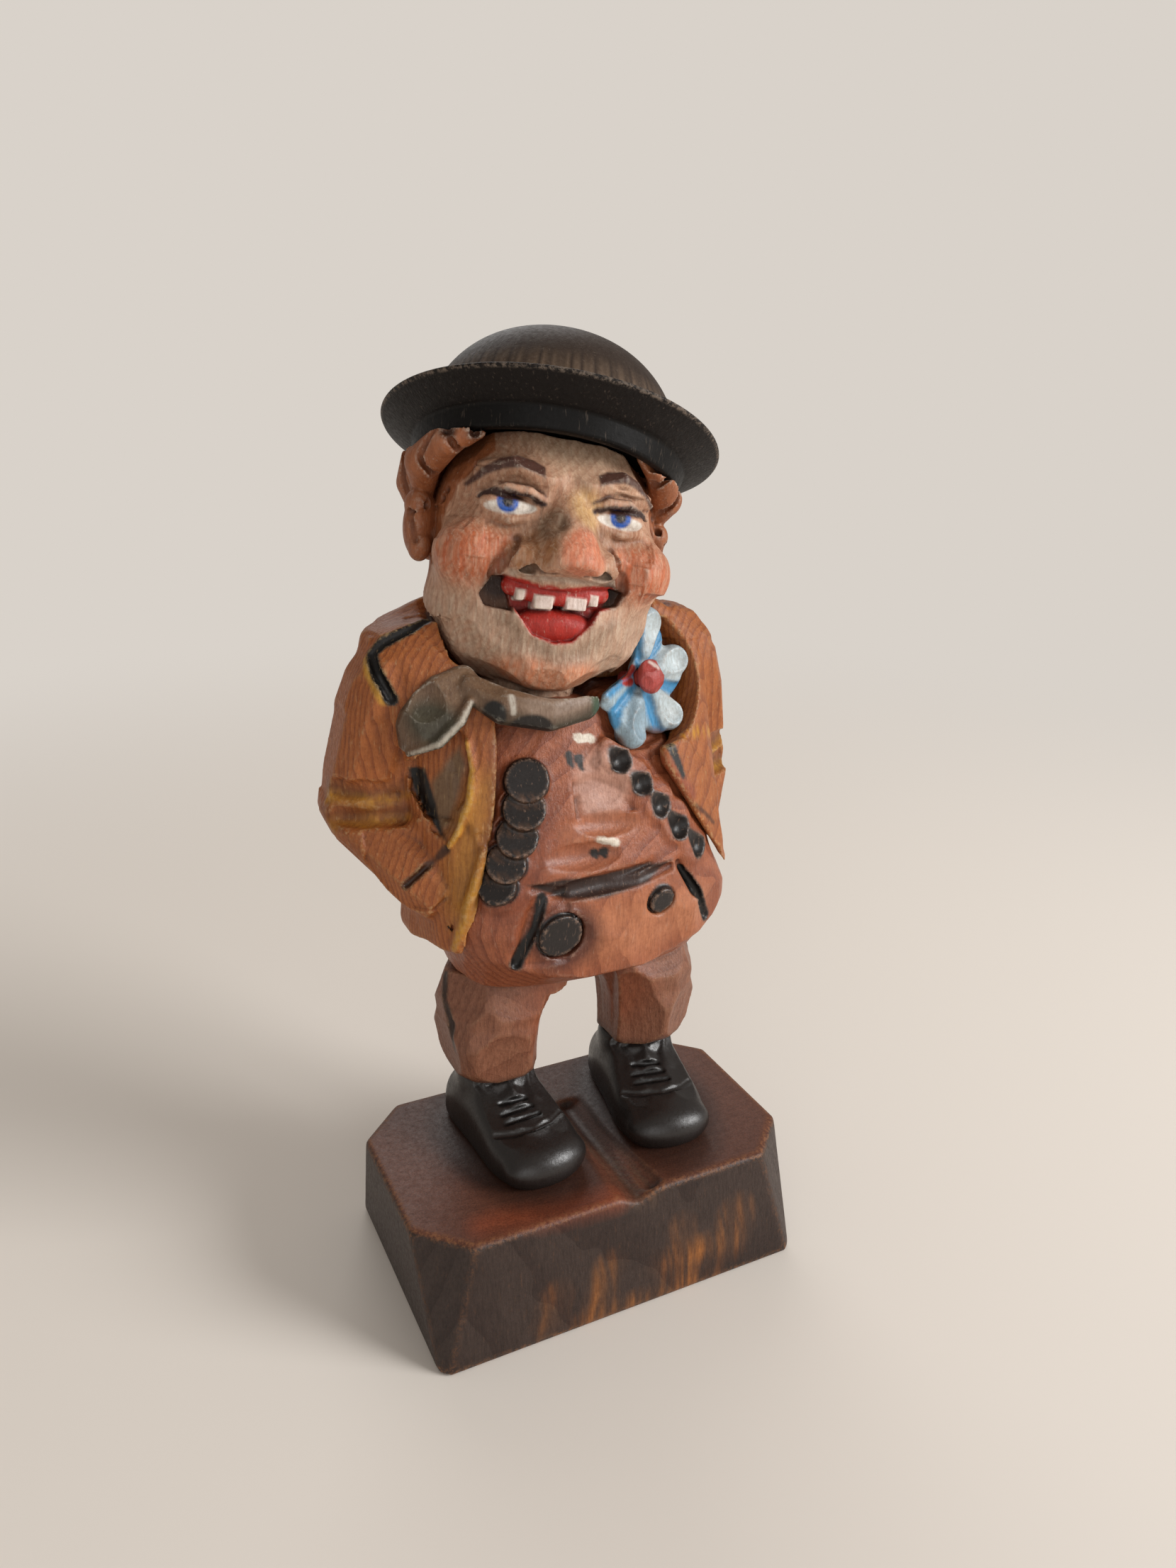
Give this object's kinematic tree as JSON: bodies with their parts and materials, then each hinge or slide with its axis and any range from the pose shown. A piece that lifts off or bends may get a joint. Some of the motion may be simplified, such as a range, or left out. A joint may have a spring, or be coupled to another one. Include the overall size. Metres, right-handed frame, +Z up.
{
  "type": "carved man figurine",
  "caption": "Carved and painted wooden folk figure of a laughing man in a round hat, hands in his pockets, standing on a chamfered plinth; the head turns on its neck dowel",
  "frame": {"origin": "centre of the plinth's underside", "axes": "+Z up from the underside; the figure faces -Y; +X is the figure's left"},
  "size_m": [0.0854, 0.0727, 0.1789],
  "materials": {
    "plinth_stain": "dark red-brown stain, worn at the edges",
    "shoe_paint": "black gloss paint",
    "trouser_stain": "grey-brown stain over knife cuts",
    "waistcoat_stain": "red-brown stain, waxed",
    "jacket_stain": "golden brown stain, waxed",
    "neckerchief_paint": "thin grey-green paint with dark spots",
    "face_wash": "thin flesh-coloured wash with painted features",
    "hat_paint": "black paint, scratched and worn at the lip",
    "flower_paint": "pale blue paint",
    "peg_paint": "red paint",
    "dowel_wood": "bare turned hardwood"
  },
  "bodies": {
    "figure": {"plinth": "plinth_stain", "right_shoe": "shoe_paint", "left_shoe": "shoe_paint", "right_trouser_leg": "trouser_stain", "left_trouser_leg": "trouser_stain", "right_leg_dowel": "dowel_wood", "left_leg_dowel": "dowel_wood", "torso": "waistcoat_stain", "right_jacket_half": "jacket_stain", "left_jacket_half": "jacket_stain", "right_arm_dowel": "dowel_wood", "left_arm_dowel": "dowel_wood", "neckerchief": "neckerchief_paint", "flower": "flower_paint", "flower_peg": "peg_paint", "neck_dowel": "dowel_wood"},
    "head_and_hat": {"head": "face_wash", "hat": "hat_paint", "hat_dowel": "dowel_wood"}
  },
  "joints": [
    {"name": "head_turn", "type": "hinge", "parent": "figure", "child": "head_and_hat", "pos_m": [-0.0064, 0.0091, 0.117], "axis": [0.176, 0.108, 0.9784], "range_deg": [-20, 20]}
  ]
}
